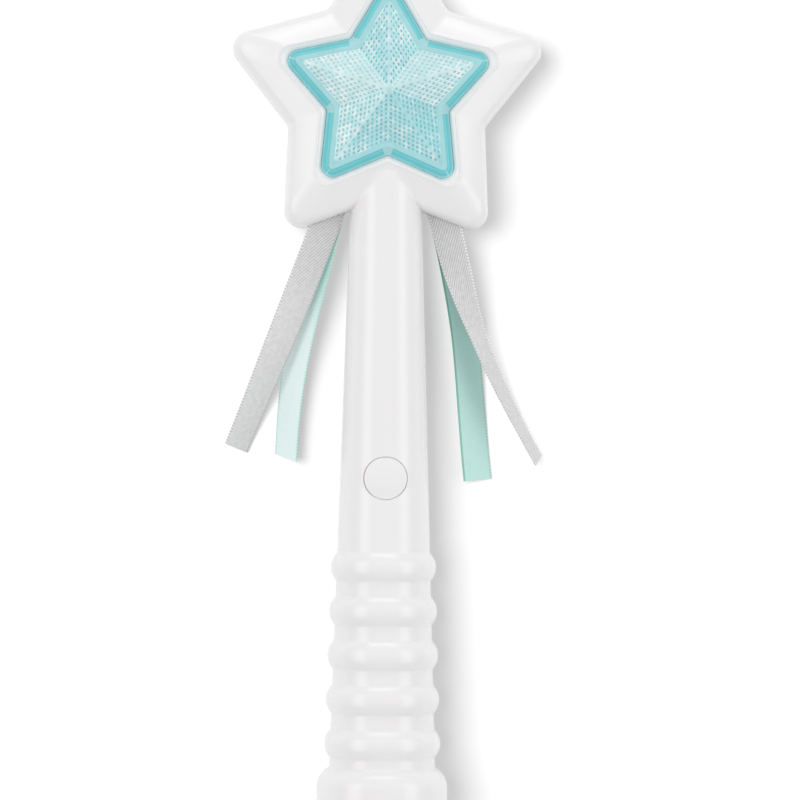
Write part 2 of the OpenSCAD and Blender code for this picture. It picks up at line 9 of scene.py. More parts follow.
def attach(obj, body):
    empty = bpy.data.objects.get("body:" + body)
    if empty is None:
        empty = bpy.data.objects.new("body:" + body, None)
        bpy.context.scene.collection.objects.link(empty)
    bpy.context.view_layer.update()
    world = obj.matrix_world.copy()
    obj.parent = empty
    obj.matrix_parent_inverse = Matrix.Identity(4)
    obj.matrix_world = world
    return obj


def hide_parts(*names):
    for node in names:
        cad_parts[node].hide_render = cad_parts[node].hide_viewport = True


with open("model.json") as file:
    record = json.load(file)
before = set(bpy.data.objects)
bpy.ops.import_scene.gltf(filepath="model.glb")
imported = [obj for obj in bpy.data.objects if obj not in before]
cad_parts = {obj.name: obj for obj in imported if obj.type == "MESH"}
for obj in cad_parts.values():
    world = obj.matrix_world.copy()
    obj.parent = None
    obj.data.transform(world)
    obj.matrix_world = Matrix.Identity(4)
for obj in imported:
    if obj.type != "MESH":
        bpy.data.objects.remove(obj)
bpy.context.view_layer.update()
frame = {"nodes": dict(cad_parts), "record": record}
scene = bpy.context.scene
scene.view_settings.view_transform = "Standard"
mm = 0.001
beyond = 40.0  # where cutters end, outside everything, in mm from the seam

# the wand's own axes, from the two flat faces in the record: across, height over the seam, along
mounts = {m["name"]: m for m in frame["record"]["mounts"]}
buttMiddle = np.array(mounts["butt_face"]["pos_m"])
across = np.array((1.0, 0.0, 0.0))
upward = -np.array(mounts["star_back"]["axis"])
along = -np.array(mounts["butt_face"]["axis"])


def place(x, h, l):
    # a point x across, h above the seam and l along from the butt, in mm, as metres of the frame
    x, h, l = np.broadcast_arrays(x, h, l)
    return buttMiddle + mm * (x[..., None] * across + h[..., None] * upward + l[..., None] * along)


def tint(code):
    # an sRGB hex colour as linear red, green, blue and alpha
    value = np.array([int(code[i:i + 2], 16) for i in (1, 3, 5)]) / 255
    linear = np.where(value <= 0.04045, value / 12.92, ((value + 0.055) / 1.055) ** 2.4)
    return (*linear.tolist(), 1.0)


def addNode(tree, kind, settings, links):
    # one node: its properties, then each input as a plain value or as a link from another node's output
    item = tree.nodes.new(kind)
    for key, value in settings.items():
        setattr(item, key, value)
    for key, value in links.items():
        if isinstance(value, bpy.types.NodeSocket):
            tree.links.new(value, item.inputs[key])
        else:
            item.inputs[key].default_value = value
    return item


def newMaterial(name):
    # an empty node tree with an output
    material = bpy.data.materials.new(name)
    material.use_nodes = True
    tree = material.node_tree
    tree.nodes.clear()
    return material, tree, addNode(tree, "ShaderNodeOutputMaterial", {}, {})


def upTo(start, end, count):
    # even steps from the start, the end left out
    return np.linspace(start, end, count, endpoint=False)


def gridFaces(rows, cols, closeRows=False, closeCols=False):
    # quads between neighbours on a grid of points, wrapping round where a side is closed
    r, c = np.meshgrid(np.arange(rows - (not closeRows)), np.arange(cols - (not closeCols)), indexing="ij")
    down, right = (r + 1) % rows, (c + 1) % cols
    return np.stack([r * cols + c, down * cols + c, down * cols + right, r * cols + right], -1).reshape(-1, 4)


def makeMesh(name, points, faces, attributes=None):
    # points and faces as a mesh: doubles within a micron merged, normals outward
    mesh = bpy.data.meshes.new(name)
    mesh.from_pydata(points.tolist(), [], faces if isinstance(faces, list) else faces.tolist())
    for key, (kind, field, values) in (attributes or {}).items():
        mesh.attributes.new(key, kind, "POINT").data.foreach_set(field, values.astype(np.float32).ravel())
    work = bmesh.new()
    work.from_mesh(mesh)
    bmesh.ops.remove_doubles(work, verts=work.verts, dist=1e-6)
    bmesh.ops.dissolve_degenerate(work, edges=work.edges, dist=1e-7)
    bmesh.ops.recalc_face_normals(work, faces=work.faces)
    work.to_mesh(mesh)
    work.free()
    return mesh


def makePiece(name, mesh, material, body, nodes, sharp=32):
    # the finished object: smooth shading with sharp edges kept, riding on its body in its nodes' place
    mesh.polygons.foreach_set("use_smooth", np.ones(len(mesh.polygons), bool))
    mesh.set_sharp_from_angle(angle=np.radians(sharp))
    mesh.materials.clear()
    mesh.materials.append(material)
    piece = bpy.data.objects.new(name, mesh)
    scene.collection.objects.link(piece)
    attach(piece, body)
    if nodes:
        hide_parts(*nodes)
    print("made", name, len(mesh.polygons), "faces")
    return piece


def carved(mesh, cutters):
    # the mesh less each cutter's solid
    body = bpy.data.objects.new("carving", mesh)
    scene.collection.objects.link(body)
    helpers = []
    for cutter in cutters:
        helper = bpy.data.objects.new("cutter", cutter)
        scene.collection.objects.link(helper)
        cut = body.modifiers.new("cut", "BOOLEAN")
        cut.operation, cut.solver, cut.object = "DIFFERENCE", "EXACT", helper
        helpers.append(helper)
    result = bpy.data.meshes.new_from_object(body.evaluated_get(bpy.context.evaluated_depsgraph_get()))
    for item in [body, *helpers]:
        bpy.data.objects.remove(item)
    return result


def joinedMesh(name, *meshes):
    # several meshes as one, their points and faces one after another
    points, faces, first = [], [], 0
    for mesh in meshes:
        part = np.zeros(len(mesh.vertices) * 3)
        mesh.vertices.foreach_get("co", part)
        points.append(part.reshape(-1, 3))
        faces += [[v + first for v in side.vertices] for side in mesh.polygons]
        first += len(mesh.vertices)
    whole = bpy.data.meshes.new(name)
    whole.from_pydata(np.concatenate(points).tolist(), [], faces)
    return whole


def softMax(a, b, width):
    # the larger of two heights, the corner between them filled by a fillet about that wide
    near = np.clip(1 - np.abs(a - b) / width, 0, 1)
    return np.maximum(a, b) + near * near * width / 4


def easeInOut(u):
    # 0 to 1 with level ends
    u = np.clip(u, 0, 1)
    return u * u * (3 - 2 * u)


def smoothCurve(points, count):
    # a Catmull-Rom curve through the points, evenly stepped in their numbering
    p = np.asarray(points, float)
    p = np.concatenate([2 * p[:1] - p[1:2], p, 2 * p[-1:] - p[-2:-1]])
    t = np.linspace(0, len(p) - 3, count)
    i = np.minimum(t.astype(int), len(p) - 4)
    u = (t - i)[:, None]
    a, b, c, d = p[i], p[i + 1], p[i + 2], p[i + 3]
    return b + (c - a) * u / 2 + (2 * a - 5 * b + 4 * c - d) * u ** 2 / 2 + (3 * b - a - 3 * c + d) * u ** 3 / 2


def roundedCorner(start, corner, end, count):
    # a quadratic curve that turns from start to end inside the corner
    u = np.linspace(0, 1, count)[:, None]
    return (1 - u) ** 2 * np.array(start) + 2 * u * (1 - u) * np.array(corner) + u ** 2 * np.array(end)


def turnedSolid(profile, x, l, steps=72):
    # a closed profile of radius and height turned about an upright axis at x across and l along
    angle = upTo(0, 2 * np.pi, steps)
    r, h = np.asarray(profile, float).T[..., None]
    points = place(x + r * np.cos(angle), h, l + r * np.sin(angle))
    return points.reshape(-1, 3), gridFaces(len(profile), steps, True, True)


def rodMesh(x, l, radius, low, high):
    # a plain round cutter
    return makeMesh("rod", *turnedSolid([(0, low), (radius, low), (radius, high), (0, high)], x, l))


boxFaces = np.array([(0, 1, 3, 2), (4, 6, 7, 5), (0, 4, 5, 1), (2, 3, 7, 6), (0, 2, 6, 4), (1, 5, 7, 3)])


def boxCorners(x, h, l):
    # a box between two values of each, its corners in the order that boxFaces joins
    return np.array([(a, b, c) for a in x for b in h for c in l], float)


# materials


def mathNode(tree, operation, *values):
    # one sum, product or the like of plain values and links
    return addNode(tree, "ShaderNodeMath", {"operation": operation}, dict(enumerate(values))).outputs[0]


def noiseNode(tree, where, scale, detail):
    # a cloudy value from 0 to 1
    links = {"Vector": where, "Scale": scale, "Detail": detail}
    return addNode(tree, "ShaderNodeTexNoise", {}, links).outputs[0]


def rangeNode(tree, value, span=(0.0, 1.0), to=(0.0, 1.0), shape="LINEAR"):
    # a value's run over one span carried to another
    links = {0: value, 1: span[0], 2: span[1], 3: to[0], 4: to[1]}
    return addNode(tree, "ShaderNodeMapRange", {"interpolation_type": shape}, links).outputs[0]


def mixNode(tree, share, first, second, blend="MIX"):
    # two colours mixed by a share
    links = {0: share, 6: first, 7: second}
    return addNode(tree, "ShaderNodeMix", {"data_type": "RGBA", "blend_type": blend}, links).outputs[2]


def bumpNode(tree, height, strength, distance):
    # a surface raised by a value, over a distance in mm
    links = {"Strength": strength, "Distance": distance * mm, "Height": height}
    return addNode(tree, "ShaderNodeBump", {}, links).outputs[0]


def surfaced(material, tree, out, links):
    # the material with its shader on the output
    shader = addNode(tree, "ShaderNodeBsdfPrincipled", {}, links)
    tree.links.new(shader.outputs[0], out.inputs[0])
    return material


def mouldedAbs(name, colours):
    # injection-moulded ABS: near-white and softly glossy, with the faint drift of a moulded skin
    material, tree, out = newMaterial(name)
    where = addNode(tree, "ShaderNodeTexCoord", {}, {}).outputs["Object"]
    cloud = noiseNode(tree, where, 40.0, 3.0)
    grain = noiseNode(tree, where, 1400.0, 2.0)
    return surfaced(material, tree, out, {
        "Base Color": mixNode(tree, cloud, tint(colours[0]), tint(colours[1])),
        "Roughness": rangeNode(tree, cloud, to=(0.22, 0.28)), "Normal": bumpNode(tree, grain, 0.05, 0.05),
        "IOR": 1.53})


def tealStyrene(name):
    # clear styrene tinted teal: its colour is worked out per point, deep where it is thick, pale on edges, with
    # painted shade in the pits, painted glints, a painted highlight on each point's mitre and facets painted
    # paler or deeper by how they face the lamps
    material, tree, out = newMaterial(name)
    depth = addNode(tree, "ShaderNodeAttribute", {"attribute_name": "lensTint"}, {}).outputs["Color"]
    where = addNode(tree, "ShaderNodeTexCoord", {}, {}).outputs["Object"]
    flow = rangeNode(tree, noiseNode(tree, where, 160.0, 2.0), to=(0.9, 1.08))
    shade = addNode(tree, "ShaderNodeVectorMath", {"operation": "SCALE"}, {0: depth, "Scale": flow})
    return surfaced(material, tree, out, {
        "Base Color": shade.outputs[0], "Roughness": 0.12, "IOR": 1.58, "Coat Weight": 0.3, "Coat Roughness": 0.08})


# in mm along and across the cloth: the twill's lean and period, where the slot's crease and its tint fade with the
# twill's contrast at either end, the selvedge's loops and where the selvedge begins
satin = {"lean": 1.8, "period": 1.65, "crease": (10.0, 48.0), "contrast": (0.55, 0.1), "tinted": (12.0, 50.0),
         "loop": 1.1, "hem": (4.3, 4.55)}


def satinRibbon(name, ground, shadow, slotTint, edges):
    # woven polyester satin: a diagonal twill, coarse where the slot creases it, selvedges whose loops show as
    # a dotted line, a tint that is deeper by the slot and a silky sheen
    p = satin
    material, tree, out = newMaterial(name)
    cloth = addNode(tree, "ShaderNodeAttribute", {"attribute_name": "weave"}, {}).outputs["Vector"]
    parts = addNode(tree, "ShaderNodeSeparateXYZ", {}, {0: cloth})
    aside, onward = parts.outputs[0], parts.outputs[1]
    # threads are 0.15 mm, drawn in lines 0.8 mm apart so that they show
    slant = mathNode(tree, "MULTIPLY_ADD", aside, p["lean"], onward)
    twill = mathNode(tree, "SINE", mathNode(tree, "MULTIPLY", slant, 2 * np.pi / p["period"]))
    coarse = rangeNode(tree, onward, p["crease"], p["contrast"])
    threads = mathNode(tree, "MULTIPLY_ADD", twill, coarse, noiseNode(tree, cloth, 0.6, 4.0))
    near = rangeNode(tree, onward, p["tinted"], (1.0, 0.0), "SMOOTHSTEP")
    shade = mixNode(tree, threads, tint(shadow), tint(ground))
    shade = mixNode(tree, near, shade, tint(slotTint), "MULTIPLY")
    # selvedge loops in the outer half millimetre of either side
    loops = mathNode(tree, "SINE", mathNode(tree, "MULTIPLY", onward, 2 * np.pi / p["loop"]))
    loops = rangeNode(tree, loops, (-0.5, 0.5))
    for side, (gapTint, loopTint) in zip((-1, 1), edges):
        hem = rangeNode(tree, aside, (side * p["hem"][0], side * p["hem"][1]), shape="SMOOTHSTEP")
        shade = mixNode(tree, hem, shade, mixNode(tree, loops, tint(gapTint), tint(loopTint)))
    return surfaced(material, tree, out, {
        "Base Color": shade, "Roughness": 0.5, "Normal": bumpNode(tree, threads, 0.3, 0.1), "Sheen Weight": 0.3,
        "Sheen Roughness": 0.4, "Anisotropic": 0.5})


def speckled(name, colours, scale, roughness, metallic=0.0):
    # a plain finish whose two close shades and gloss drift at a set size, in mm
    material, tree, out = newMaterial(name)
    where = addNode(tree, "ShaderNodeTexCoord", {}, {}).outputs["Object"]
    cloud = noiseNode(tree, where, 1 / (scale * mm), 4.0)
    return surfaced(material, tree, out, {
        "Base Color": mixNode(tree, cloud, tint(colours[0]), tint(colours[1])),
        "Roughness": rangeNode(tree, cloud, to=roughness), "Normal": bumpNode(tree, cloud, 0.2, 0.02),
        "Metallic": metallic})


whiteAbs = mouldedAbs("mouldedWhiteAbs", ("#F3F1F2", "#F6F5F5"))
tealLens = tealStyrene("tintedTealStyrene")
greySatin = satinRibbon("wovenGreySatin", "#F2F2F2", "#D2D2D2", "#F2F2F2",
                        (("#CACACA", "#F2F2F2"), ("#C8C8C8", "#D8D8D8")))
mintSatin = satinRibbon("wovenMintSatin", "#F5FFFE", "#E3FCF8", "#BAECE0",
                        (("#BDEBDF", "#D8F7F0"), ("#BDEBDF", "#D8F7F0")))
# the right ribbons' cloths: darker copies of the same two satins, painted shade for ribbons turned away from the
# lamps; the mint copy's left edge is darker still, painted shade along that edge
greyShadedCopy = satinRibbon("wovenGreyShadedCopy", "#ECECEC", "#C8C8C8", "#F8F8F8",
                          (("#C8C8C8", "#E6E6E6"), ("#CECECE", "#FCFCFC")))
mintShadedCopy = satinRibbon("wovenMintShadedCopy", "#D2F9F2", "#C6F3EB", "#FCFFFF",
                          (("#8AD0BA", "#94D6C2"), ("#B2E3D7", "#CDF1E8")))

# the carried-over nodes: what each is made of
nodeFinishes = {
    "rubber_dome": speckled("mouldedSilicone", ("#D9D9D6", "#E2E2DF"), 1.5, (0.5, 0.65)),
    "main_board": speckled("solderMaskBoard", ("#1E5B3A", "#2A6E48"), 2.0, (0.35, 0.5)),
    "led_board": speckled("solderMaskRound", ("#1E5B3A", "#2A6E48"), 2.0, (0.35, 0.5)),
    "controller_chip": speckled("pottedEpoxy", ("#141414", "#1F1F20"), 1.0, (0.2, 0.4)),
    "resistors": speckled("dippedResistor", ("#B99A6B", "#C8AA7C"), 0.8, (0.4, 0.55)),
    "leds": speckled("castLampEpoxy", ("#EEF1F1", "#F7F9F9"), 1.5, (0.1, 0.2)),
    "battery_holder": mouldedAbs("mouldedHolderAbs", ("#ECEBEB", "#F1F0F0")),
    "battery_cells": speckled("printedCellCan", ("#2E3338", "#3B4147"), 6.0, (0.25, 0.4), 0.3),
    "battery_springs": speckled("nickelWire", ("#B9B7B0", "#D0CEC8"), 0.6, (0.2, 0.35), 1.0),
    "link_plate": speckled("nickelStrip", ("#B9B7B0", "#D0CEC8"), 1.2, (0.2, 0.35), 1.0),
    "shell_screws": speckled("zincScrew", ("#9FA3A6", "#BBBFC2"), 0.8, (0.25, 0.4), 1.0),
    "red_wires": speckled("redVinyl", ("#A81E1E", "#BE2A28"), 1.5, (0.4, 0.5)),
    "black_wires": speckled("blackVinyl", ("#161616", "#222222"), 1.5, (0.4, 0.5)),
}
alike = {"positive_plate": "link_plate", "negative_plate": "link_plate", "door_screw": "shell_screws",
         "board_screws": "shell_screws"}
for nodeName in [*nodeFinishes, *alike]:
    meshOfNode = frame["nodes"][nodeName].data
    meshOfNode.materials.clear()
    meshOfNode.materials.append(nodeFinishes[alike.get(nodeName, nodeName)])
print("materials ready")

# handle: a long cone with five ribs and a rounded pommel, split along the wand into two halves

handle = {
    "wall": 2.2, "lowRadius": 17.6, "topRadius": 11.5, "top": 221.12,
    "pommelRadius": 21.7, "pommelHeight": 21.9, "pommelRound": 7.5, "shoulderFillet": 0.9,
    "ribs": 5, "firstRib": 28.9, "ribPitch": 14.6, "ribWidth": 9.3, "ribProud": 1.9, "ribFillet": 0.5,
    "nose": 3.5, "turns": 84, "shoulderEnd": 1.0,
    # points on the butt's face, its rounded edge, the belly, the shoulder, the ribs, the shaft and its nose
    "steps": (7, 15, 5, 39, 249, 39, 24),
}


def coneRadius(l):
    # straight taper from the pommel's top to the end inside the star
    run = (l - handle["pommelHeight"]) / (handle["top"] - handle["pommelHeight"])
    return handle["lowRadius"] + (handle["topRadius"] - handle["lowRadius"]) * run


def shaftRadius(l):
    # the cone with its end inside the star rounded to an ellipse
    into = np.clip((l - handle["top"]) / handle["nose"] + 1, 0, 1)
    return coneRadius(l) * np.sqrt(1 - into ** 2)


def handleRadius(l):
    # the largest of shaft, rib arcs and the pommel's rounded shoulder, with small fillets between them
    p = handle
    ribAt = p["firstRib"] + p["ribPitch"] * np.arange(p["ribs"])
    arc = (p["ribWidth"] ** 2 / 4 + p["ribProud"] ** 2) / (2 * p["ribProud"])
    away = l[:, None] - ribAt
    bulge = np.sqrt(np.maximum(arc ** 2 - away ** 2, 0)) - arc + p["ribProud"] + coneRadius(ribAt)
    bulge = np.where(np.abs(away) < arc, bulge, 0)
    belly = p["pommelHeight"] - p["pommelRound"]
    shoulder = np.sqrt(np.maximum(p["pommelRound"] ** 2 - np.maximum(l - belly, 0) ** 2, 0))
    shoulder = np.where(l < p["pommelHeight"], shoulder + p["pommelRadius"] - p["pommelRound"], 0)
    return softMax(softMax(shaftRadius(l), bulge.max(1), p["ribFillet"]), shoulder, p["shoulderFillet"])


def handleProfiles():
    # radius and place along: outside from the butt's middle up to the star, and the wall's inside to match
    p = handle
    onFace, onEdge, onBelly, onShoulder, onRibs, onShaft, onNose = p["steps"]
    flat = p["pommelRadius"] - p["pommelRound"]
    face = np.stack([upTo(0, flat, onFace), np.zeros(onFace)], 1)
    turn = upTo(0, np.pi / 2, onEdge)
    edge = np.stack([flat + p["pommelRound"] * np.sin(turn), p["pommelRound"] * (1 - np.cos(turn))], 1)
    belly = p["pommelHeight"] - p["pommelRound"]
    ribsStart = p["pommelHeight"] + p["shoulderEnd"]
    ribsEnd = p["firstRib"] + p["ribs"] * p["ribPitch"]
    neck = p["top"] - p["nose"]
    l = np.concatenate([
        upTo(p["pommelRound"], belly, onBelly), upTo(belly, ribsStart, onShoulder),
        upTo(ribsStart, ribsEnd, onRibs), upTo(ribsEnd, neck, onShaft),
        neck + p["nose"] * np.sin(np.linspace(0, np.pi / 2, onNose))])
    outer = np.concatenate([face, edge, np.stack([handleRadius(l), l], 1)])
    depth = np.clip(outer[:, 1], p["wall"], p["top"] - p["wall"])
    inner = np.stack([np.minimum(outer[:, 0], np.maximum(shaftRadius(depth) - p["wall"], 0)), depth], 1)
    return outer, inner


def handleHalf(side):
    # half a turn of the profile, x = r cos(angle) and h = side * r sin(angle); flats close the seam
    outer, inner = handleProfiles()
    loop = np.concatenate([outer, inner[::-1]])
    cols = handle["turns"] + 1
    angle = np.linspace(0, np.pi, cols)
    r, l = loop.T[..., None]
    points = place(r * np.cos(angle), side * r * np.sin(angle), l)
    i = np.arange(len(outer) - 1)
    far = 2 * len(outer) - 1 - i
    seam = np.stack([i, i + 1, far - 1, far], 1) * cols
    faces = np.concatenate([gridFaces(len(loop), cols, closeRows=True), seam, seam + cols - 1])
    return points.reshape(-1, 3), faces


# star: a soft five-pointed frame round a window in front, a flat back behind

star = {
    "middle": 245.0, "outer": (58.5, 34.6, 5.6, 4.0), "window": (38.5, 21.3, 3.8, 1.8),
    "front": 12.2, "rear": 12.3, "steps": (14, 26, 12),
    "crownSteps": 44, "lipSteps": 8, "rimSteps": 30, "flatSteps": 8,
    # the shaft's fillet: its width, how far the shaft stands proud, where the fillet fades and over how much
    "neckFillet": 1.4, "neckProud": 0.04, "neckFade": (0.62, 0.18),
    # share of the way from the outer edge to the window, share of the depth
    "crownShares": [(0, 0), (0.02, 0.31), (0.07, 0.49), (0.16, 0.62), (0.32, 0.73), (0.55, 0.86), (0.8, 0.985)],
    "lipShares": [(0.815, 1.0), (0.84, 1.035), (0.862, 0.985)],
    "bevelShares": [(0.875, 0.978), (0.9, 0.968), (0.93, 0.95), (0.96, 0.922), (0.985, 0.885), (1, 0.855),
                    (1, 0.84), (1, 0.67)],
    "frontInnerShares": [(0.6, 0.67), (0.42, 0.6), (0.25, 0.42), (0.19, 0.2), (0.17, 0)],
    "rearShares": [(0, 0), (0.015, 0.33), (0.04, 0.56), (0.09, 0.76), (0.17, 0.9), (0.27, 0.98), (0.36, 1)],
    "rearInnerShares": [(0.17, 0), (0.19, 0.3), (0.27, 0.62), (0.43, 0.82)],
}


armHalf = np.pi / 5  # half an arm's share of the full turn
notchHalf = 0.3 * np.pi  # a right angle less that


def starLoops(shapes, steps):
    # outlines of rounded stars (point radius, notch radius, their two roundings): an arc at each point,
    # a straight edge, an arc at each notch, mirrored and turned five times
    tip, notch, tipRound, notchRound = np.asarray(shapes, float).T[..., None]
    half = np.arctan2(notch * np.sin(armHalf), tip - notch * np.cos(armHalf))
    turn = np.linspace(0, 1, steps[0] + 1) * (np.pi / 2 - half)
    tipArc = np.stack([tip - tipRound / np.sin(half) + tipRound * np.cos(turn), tipRound * np.sin(turn)], -1)
    turn = np.pi / 2 - half + np.linspace(0, 1, steps[2] + 1) * (half - notchHalf)
    out = notch + notchRound / np.cos(notchHalf - half)
    notchArc = np.stack([out * np.cos(armHalf) - notchRound * np.cos(turn),
                         out * np.sin(armHalf) - notchRound * np.sin(turn)], -1)
    ease = 0.012  # the edge's end points lie close to the arcs, so that the shading turns only there
    s = np.concatenate([[ease], np.linspace(0, 1, steps[1] + 1)[1:-1], [1 - ease]])[:, None]
    halfArm = np.concatenate([tipArc, tipArc[:, -1:] * (1 - s) + notchArc[:, :1] * s, notchArc], 1)
    back = halfArm[:, -2:0:-1] * (1, -1)
    heading = np.pi / 2 + 2 * armHalf * np.arange(6)
    spin = np.stack([np.stack([np.cos(heading), np.sin(heading)], -1),
                     np.stack([-np.sin(heading), np.cos(heading)], -1)], -2)
    return np.concatenate([part for k in range(5) for part in (halfArm @ spin[k], back @ spin[k + 1])], 1)


def grownStar(shape, d):
    # a star moved outward by d all round: points and notches move by d over the sine of half their angle
    tip, notch, tipRound, notchRound = shape
    half = np.arctan2(notch * np.sin(armHalf), tip - notch * np.cos(armHalf))
    return (tip + d / np.sin(half), notch + d / np.cos(notchHalf - half), max(tipRound + d, 0),
            max(notchRound - d, 0))


def mixedStars(shares):
    # stars part of the way from the outer outline to the window
    outer, window = np.array(star["outer"]), np.array(star["window"])
    return outer + (window - outer) * np.asarray(shares)[:, None]


def neckLift(x, h, l, keep):
    # the frame's height joined to the shaft's by a fillet, where the shaft runs up into the star
    shaft = np.sqrt(np.maximum(shaftRadius(l) ** 2 - x ** 2, 0))
    lifted = softMax(h, shaft + star["neckProud"], star["neckFillet"])
    return h + (lifted - h) * keep


def frontStar():
    # rings of star outlines carried over the frame's section: wall, crown, lip, bevel, seat and back inside
    p = star
    crown = smoothCurve(p["crownShares"], p["crownSteps"])
    lip = roundedCorner(*p["lipShares"], p["lipSteps"])
    outerPart = np.concatenate([crown, lip, p["bevelShares"]])
    section = np.concatenate([outerPart, p["frontInnerShares"]])
    loops = starLoops(mixedStars(section[:, 0]), p["steps"])
    x, l = loops[..., 0], p["middle"] + loops[..., 1]
    h = np.repeat(section[:, 1:] * p["front"], x.shape[1], 1)
    fadeFrom, fadeOver = p["neckFade"]
    keep = 1 - easeInOut((section[:, 0] - fadeFrom) / fadeOver)
    keep[len(outerPart):] = 0
    h = neckLift(x, h, l, keep[:, None])
    return place(x, h, l).reshape(-1, 3), gridFaces(*x.shape, True, True)


def rearStar():
    # the flat back: from the middle of its inside out to the seam, round the rim and over the back to its middle
    p = star
    rim = smoothCurve(p["rearShares"], p["rimSteps"])
    inner = np.array(p["rearInnerShares"])
    section = np.concatenate([inner[::-1], rim])
    loops = starLoops(mixedStars(section[:, 0]), p["steps"])
    count = p["flatSteps"]
    flats = np.linspace(0, 1, count + 1)[:, None, None]
    loops = np.concatenate([flats[:-1] * loops[:1], loops, flats[::-1][1:] * loops[-1:]])
    depth = np.concatenate([np.repeat(section[0, 1], count), section[:, 1], np.repeat(section[-1, 1], count)])
    x, l = loops[..., 0], p["middle"] + loops[..., 1]
    h = np.repeat(depth[:, None] * p["rear"], x.shape[1], 1)
    outside = (np.arange(len(depth)) >= count + len(inner)).astype(float)
    h = np.minimum(neckLift(x, h, l, outside[:, None]), np.maximum(h, p["rear"]))
    return place(x, -h, l).reshape(-1, 3), gridFaces(*x.shape, False, True)


# ribbon slots in the star's lower edges, at the seam

slot = {"x": 19.6, "l": 203.145, "turn": 17.0, "width": 11.2, "height": 1.3, "length": 14.0}


def slotCutters():
    # a flat box through the wall on each side, turned to the ribbons' splay
    unit = (-0.5, 0.5)
    box = boxCorners(unit, unit, unit) * (slot["width"], slot["height"], slot["length"])
    cutters = []
    for side in (-1, 1):
        turn = np.radians(-side * slot["turn"])
        x = side * slot["x"] + box[:, 0] * np.cos(turn) + box[:, 2] * np.sin(turn)
        l = slot["l"] - box[:, 0] * np.sin(turn) + box[:, 2] * np.cos(turn)
        cutters.append(makeMesh("slot", place(x, box[:, 1], l), boxFaces))
    return cutters


# button: a round cap in a bore of the front shell, with a shallow line round it

button = {"l": 116.7, "radius": 7.05, "gap": 0.22, "top": 15.1, "domeRadius": 24.0, "edge": 0.6, "turns": 96,
          "flangeTop": 8.55, "flange": 8.3, "flangeHeight": 1.2, "lineDepth": 0.6, "lineShares": (0, 0.5, 0.9, 1),
          "boreGap": 0.02, "boreFrom": 2.0, "domeSteps": 16, "edgeSteps": 9}


def buttonRecess():
    # a round cutter whose underside follows the shaft a little below its skin, for the shallow line round the cap
    b = button
    angle = upTo(0, 2 * np.pi, b["turns"])
    r = np.array(b["lineShares"])[:, None] * (b["radius"] + b["gap"])
    x, l = r * np.cos(angle), b["l"] + r * np.sin(angle)
    skin = np.sqrt((coneRadius(l) - b["lineDepth"]) ** 2 - x ** 2)
    x, l = (np.concatenate([v, v[-1:], v[:1]]) for v in (x, l))
    h = np.concatenate([skin, np.full((2, b["turns"]), beyond)])
    return makeMesh("recess", place(x, h, l).reshape(-1, 3), gridFaces(*x.shape, False, True))


buttonBore = rodMesh(0, button["l"], button["radius"] + button["boreGap"], button["boreFrom"], beyond)
frontHandle = carved(makeMesh("frontHandle", *handleHalf(1)), [buttonRecess(), buttonBore])
frontFrame = carved(makeMesh("frontFrame", *frontStar()), slotCutters())
makePiece("frontShell", joinedMesh("frontShell", frontHandle, frontFrame), whiteAbs, "wand",
          ["front_shell"])


def capProfile():
    # a shallow dome, R - sqrt(R * R - r * r) below its top, with a rounded edge over a straight skirt and a flange
    # that keeps it in
    b = button
    rim = b["radius"] - b["edge"]
    r = np.linspace(0, rim, b["domeSteps"])
    dome = np.stack([r, b["top"] - b["domeRadius"] + np.sqrt(b["domeRadius"] ** 2 - r ** 2)], 1)
    turn = np.linspace(0, np.pi / 2, b["edgeSteps"])[1:]
    edge = np.stack([rim + b["edge"] * np.sin(turn), dome[-1, 1] - b["edge"] * (1 - np.cos(turn))], 1)
    low = b["flangeTop"] - b["flangeHeight"]
    skirt = [(b["radius"], b["flangeTop"]), (b["flange"], b["flangeTop"]), (b["flange"], low), (0, low)]
    return np.concatenate([dome, edge, skirt])


cap = makeMesh("buttonCap", *turnedSolid(capProfile(), 0, button["l"], button["turns"]))
makePiece("buttonCap", cap, whiteAbs, "button", ["button_cap"])

# rear shell: screw wells and the battery door's opening with its ledge

door = {"low": 23.3, "high": 84.75, "halfWidth": 12.4, "ledge": 1.1, "ledgeIn": 1.6, "ledgeEnd": 1.1, "gap": 0.25,
        "screw": 80.3, "boss": 3.0, "head": 2.6, "hole": 1.15, "seatIn": 2.2, "bossThick": 1.6, "fit": 0.05,
        "proud": 0.02, "openFrom": 1.0, "holeFrom": 2.0, "turns": 48, "cutGrid": (12, 41), "skinGrid": (240, 61)}
screws = {"starRadius": 43.0, "starAngles": (18, 90, 162), "handleAt": (10.95, 96.2, 159.7), "well": 2.8,
          "seat": 4.6, "cupWall": 1.4, "cupFloor": 1.6, "cupHole": 1.4, "cupUnder": 1.1, "turns": 40}


def doorSlab(lowDepth, highRadius, half, low, high, grid, name):
    # a piece of the handle's back: a grid over x and l between two radii, h = -sqrt(r * r - x * x)
    rows, cols = grid
    x = np.linspace(-half, half, cols)
    l = np.linspace(low, high, rows)[:, None]
    inner = np.sqrt((coneRadius(l) - lowDepth) ** 2 - x ** 2)
    outer = np.sqrt(highRadius(l[:, 0])[:, None] ** 2 - x ** 2)
    both = np.stack([inner, outer])
    points = place(x, -both, l).reshape(-1, 3)
    skin = gridFaces(rows, cols)
    index = np.arange(rows * cols).reshape(rows, cols)
    rim = np.concatenate([index[0, :-1], index[:-1, -1], index[-1, :0:-1], index[:0:-1, 0]])
    after = np.roll(rim, -1)
    sides = np.stack([rim, after, after + rows * cols, rim + rows * cols], 1)
    return makeMesh(name, points, np.concatenate([skin, skin + rows * cols, sides]))


